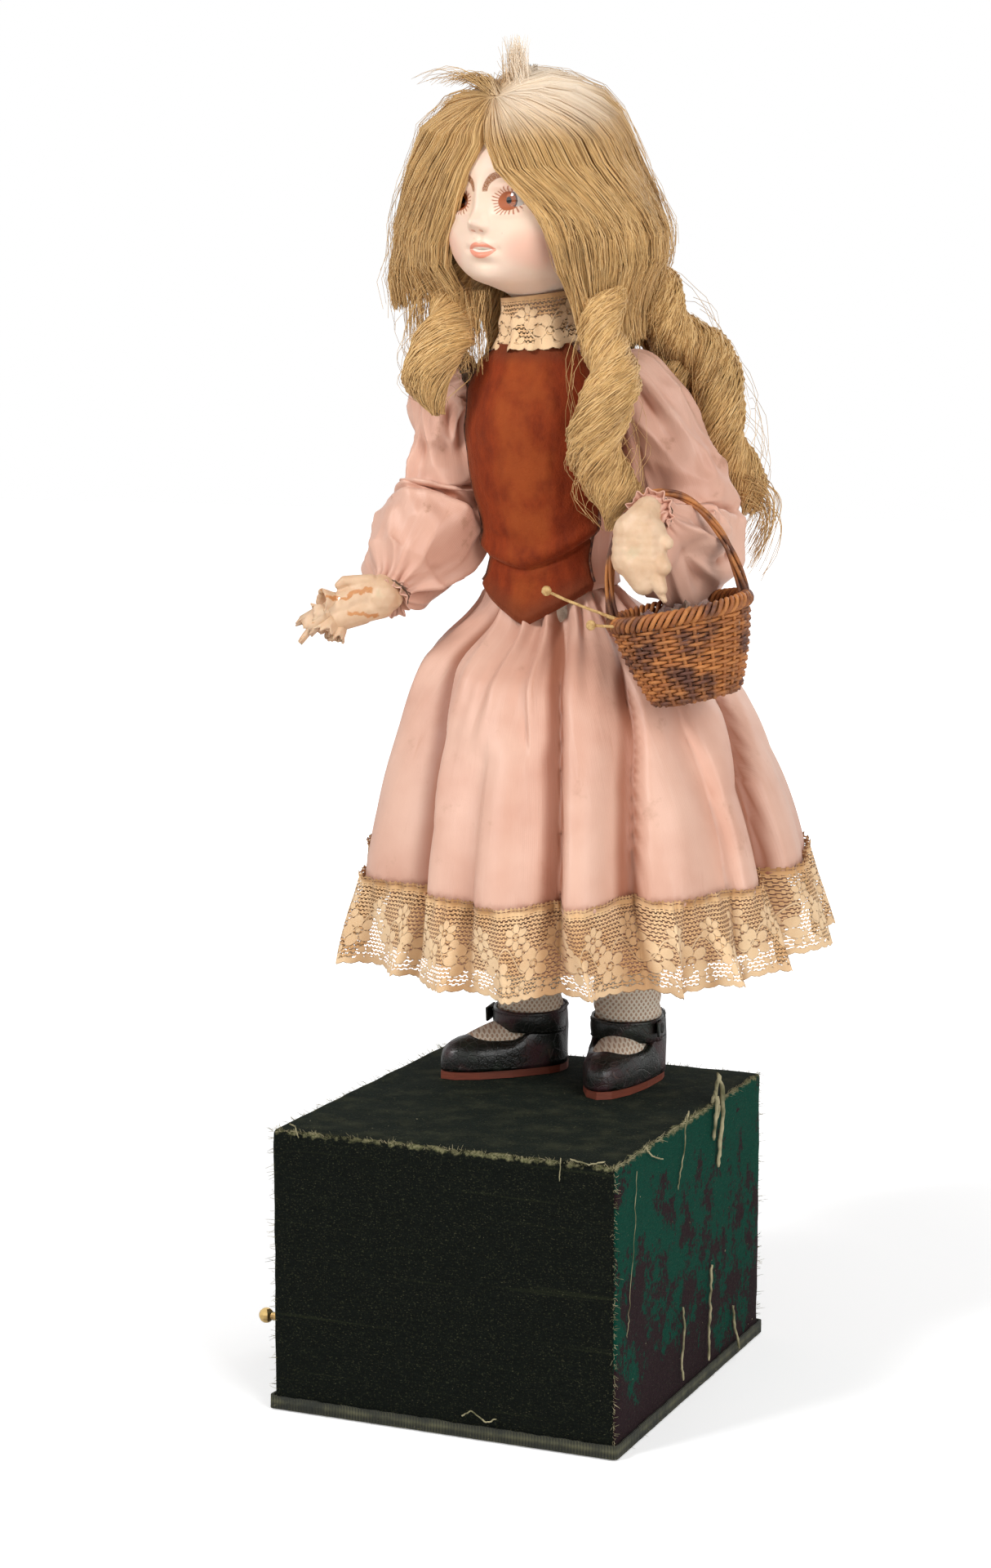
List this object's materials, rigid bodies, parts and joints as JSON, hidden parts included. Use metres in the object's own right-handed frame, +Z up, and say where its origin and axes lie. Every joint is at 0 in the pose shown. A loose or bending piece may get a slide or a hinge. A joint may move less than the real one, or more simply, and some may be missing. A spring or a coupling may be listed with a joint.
{
  "type": "clockwork doll automaton",
  "caption": "Clockwork automaton: a bisque-headed doll with a basket, in a lace-hemmed satin dress, stands on a velvet-covered plinth that houses the movement, cams and music comb.",
  "frame": {"origin": "middle of the plinth's underside, on the surface that it stands on", "axes": "+Z up; the plinth's front and the doll face -Y; +X is the doll's left"},
  "size_m": [0.2064, 0.2291, 0.507],
  "materials": {
    "pine": "raw sawn pine",
    "green_velvet": "worn dark green velvet, rubbed at its edges",
    "gilt_braid": "narrow tarnished braid",
    "brass": "aged brass",
    "steel": "plain steel",
    "papier_mache": "matt moulded papier-mache",
    "bisque": "unglazed bisque porcelain, painted",
    "eye_glass": "brown paperweight eyes, blown and opaque behind",
    "mohair": "light brown mohair in curls",
    "rust_velvet": "worn rust-orange velvet",
    "pink_satin": "soft peach-pink satin",
    "brown_lining": "matt cotton lining",
    "ecru_lace": "patterned net lace",
    "white_cotton": "openwork cotton",
    "dark_leather": "thin polished leather",
    "red_brown_leather": "plain sole leather",
    "wicker": "dark stained woven cane",
    "faded_petals": "dry faded petals and stalks"
  },
  "bodies": {
    "figure_on_plinth": {"plinth_bottom_board": "pine", "plinth_top_board": "pine", "plinth_front_board": "pine", "plinth_back_board": "pine", "plinth_left_board": "pine", "plinth_right_board": "pine", "velvet_cover": "green_velvet", "bottom_braid": "gilt_braid", "movement_plate_left": "brass", "movement_plate_right": "brass", "music_comb": "steel", "right_shoe_sole": "red_brown_leather", "left_shoe_sole": "red_brown_leather", "right_shoe_upper": "dark_leather", "left_shoe_upper": "dark_leather", "right_leg": "papier_mache", "left_leg": "papier_mache", "right_sock": "white_cotton", "left_sock": "white_cotton", "trunk": "papier_mache", "bodice": "rust_velvet", "skirt": "pink_satin", "skirt_lining": "brown_lining", "lace_flounce": "ecru_lace", "lace_collar": "ecru_lace", "hanging_hair": "mohair"},
    "key": {"winding_key": "brass", "winding_arbor": "steel"},
    "click": {"ratchet_click": "steel"},
    "barrel": {"spring_barrel": "brass", "mainspring": "steel"},
    "cams": {"camshaft": "steel", "cam_stack": "pine"},
    "train": {"second_wheel": "steel"},
    "fly": {"fly_governor": "steel"},
    "cylinder": {"music_cylinder": "brass"},
    "knob": {"start_knob": "brass"},
    "turn_lever": {"lever_head_turn": "steel"},
    "right_lever": {"lever_right_arm": "steel"},
    "nod_lever": {"lever_head_nod": "steel"},
    "left_lever": {"lever_left_arm": "steel"},
    "turn_wire": {"wire_head_turn": "steel"},
    "right_wire": {"wire_right_arm": "steel"},
    "nod_wire": {"wire_head_nod": "steel"},
    "left_wire": {"wire_left_arm": "steel"},
    "bell": {"bell_crank": "steel"},
    "neck": {"neck_shaft": "brass"},
    "head": {"head_shell": "bisque", "head_block": "pine", "glass_eyes": "eye_glass", "wig_crown": "mohair"},
    "right_arm": {"right_arm": "papier_mache", "right_sleeve": "pink_satin", "right_hand": "bisque"},
    "left_arm": {"left_arm": "papier_mache", "left_sleeve": "pink_satin", "left_hand": "bisque"},
    "basket": {"basket": "wicker", "basket_handle": "wicker", "dried_flowers": "faded_petals"}
  },
  "joints": [
    {"name": "key_turn", "type": "hinge", "parent": "figure_on_plinth", "child": "key", "pos_m": [-0.06, 0.015, 0.042], "axis": [1, 0, 0], "continuous": true},
    {"name": "click_lift", "type": "hinge", "parent": "figure_on_plinth", "child": "click", "pos_m": [-0.045, 0.00453, 0.0554], "axis": [1, 0, 0], "range_deg": [0, 12]},
    {"name": "barrel_spin", "type": "hinge", "parent": "figure_on_plinth", "child": "barrel", "pos_m": [-0.02, 0.015, 0.042], "axis": [1, 0, 0], "continuous": true},
    {"name": "camshaft_spin", "type": "hinge", "parent": "figure_on_plinth", "child": "cams", "pos_m": [0, -0.02, 0.06522], "axis": [1, 0, 0], "continuous": true},
    {"name": "second_spin", "type": "hinge", "parent": "figure_on_plinth", "child": "train", "pos_m": [0, 0.04319, 0.03174], "axis": [1, 0, 0], "continuous": true},
    {"name": "fly_spin", "type": "hinge", "parent": "figure_on_plinth", "child": "fly", "pos_m": [0, 0.04666, 0.05144], "axis": [1, 0, 0], "continuous": true},
    {"name": "cylinder_spin", "type": "hinge", "parent": "figure_on_plinth", "child": "cylinder", "pos_m": [0, -0.01883, 0.02969], "axis": [1, 0, 0], "continuous": true},
    {"name": "start_slide", "type": "slide", "parent": "figure_on_plinth", "child": "knob", "axis": [1, 0, 0], "range_m": [0, 0.004]},
    {"name": "head_turn", "type": "hinge", "parent": "figure_on_plinth", "child": "neck", "pos_m": [-0.0015, 0.02096, 0.40537], "axis": [0, -0.1045, 0.9945], "range_deg": [-8, 48]},
    {"name": "head_nod", "type": "hinge", "parent": "neck", "child": "head", "pos_m": [-0.00424, 0.01003, 0.43741], "axis": [0.9397, -0.3401, -0.0358], "range_deg": [0, 8]},
    {"name": "right_arm_lift", "type": "hinge", "parent": "figure_on_plinth", "child": "right_arm", "pos_m": [-0.0415, 0.02263, 0.38946], "axis": [-1, 0, 0], "range_deg": [0, 35]},
    {"name": "left_arm_lift", "type": "hinge", "parent": "figure_on_plinth", "child": "left_arm", "pos_m": [0.0385, 0.02263, 0.38946], "axis": [-1, 0, 0], "range_deg": [0, 20]},
    {"name": "basket_swing", "type": "hinge", "parent": "left_arm", "child": "basket", "pos_m": [0.0566, -0.01007, 0.34942], "axis": [-0.9164, -0.4004, 0], "range_deg": [-2, 16]},
    {"name": "bell_crank_turn", "type": "hinge", "parent": "figure_on_plinth", "child": "bell", "pos_m": [-0.0055, 0.03469, 0.36459], "axis": [0, 0.9945, 0.1045], "range_deg": [-19.9, 3.4]},
    {"name": "turn_wire_slide", "type": "slide", "parent": "figure_on_plinth", "child": "turn_wire", "axis": [0, -0.1045, 0.9945], "range_m": [-0.0048, 0.0009]},
    {"name": "right_wire_slide", "type": "slide", "parent": "figure_on_plinth", "child": "right_wire", "axis": [0, -0.1045, 0.9945], "range_m": [0, 0.0047]},
    {"name": "nod_wire_slide", "type": "slide", "parent": "figure_on_plinth", "child": "nod_wire", "axis": [0, -0.1045, 0.9945], "range_m": [0, 0.001]},
    {"name": "left_wire_slide", "type": "slide", "parent": "figure_on_plinth", "child": "left_wire", "axis": [0, -0.1045, 0.9945], "range_m": [0, 0.0025]},
    {"name": "turn_lever_swing", "type": "hinge", "parent": "figure_on_plinth", "child": "turn_lever", "pos_m": [-0.0215, -0.06, 0.083], "axis": [1, 0, 0], "range_deg": [-2.3, 0.4]},
    {"name": "right_lever_swing", "type": "hinge", "parent": "figure_on_plinth", "child": "right_lever", "pos_m": [-0.0165, -0.06, 0.083], "axis": [1, 0, 0], "range_deg": [0, 2.4]},
    {"name": "nod_lever_swing", "type": "hinge", "parent": "figure_on_plinth", "child": "nod_lever", "pos_m": [0.0215, -0.06, 0.083], "axis": [1, 0, 0], "range_deg": [0, 0.5]},
    {"name": "left_lever_swing", "type": "hinge", "parent": "figure_on_plinth", "child": "left_lever", "pos_m": [0.0265, -0.06, 0.083], "axis": [1, 0, 0], "range_deg": [0, 1.3]}
  ],
  "couplings": [
    {"joint": "camshaft_spin", "follows": "barrel_spin", "ratio": -1.3333},
    {"joint": "second_spin", "follows": "barrel_spin", "ratio": -4},
    {"joint": "fly_spin", "follows": "barrel_spin", "ratio": 12},
    {"joint": "cylinder_spin", "follows": "barrel_spin", "ratio": -2},
    {"joint": "bell_crank_turn", "follows": "head_turn", "ratio": -0.4115},
    {"joint": "turn_wire_slide", "follows": "head_turn", "m_per_rad": -0.0056},
    {"joint": "turn_lever_swing", "follows": "head_turn", "ratio": -0.04758},
    {"joint": "nod_wire_slide", "follows": "head_nod", "m_per_rad": 0.0068},
    {"joint": "nod_lever_swing", "follows": "head_nod", "ratio": 0.05778},
    {"joint": "right_wire_slide", "follows": "right_arm_lift", "m_per_rad": 0.00753},
    {"joint": "right_lever_swing", "follows": "right_arm_lift", "ratio": 0.06686},
    {"joint": "left_wire_slide", "follows": "left_arm_lift", "m_per_rad": 0.007},
    {"joint": "left_lever_swing", "follows": "left_arm_lift", "ratio": 0.06216}
  ]
}
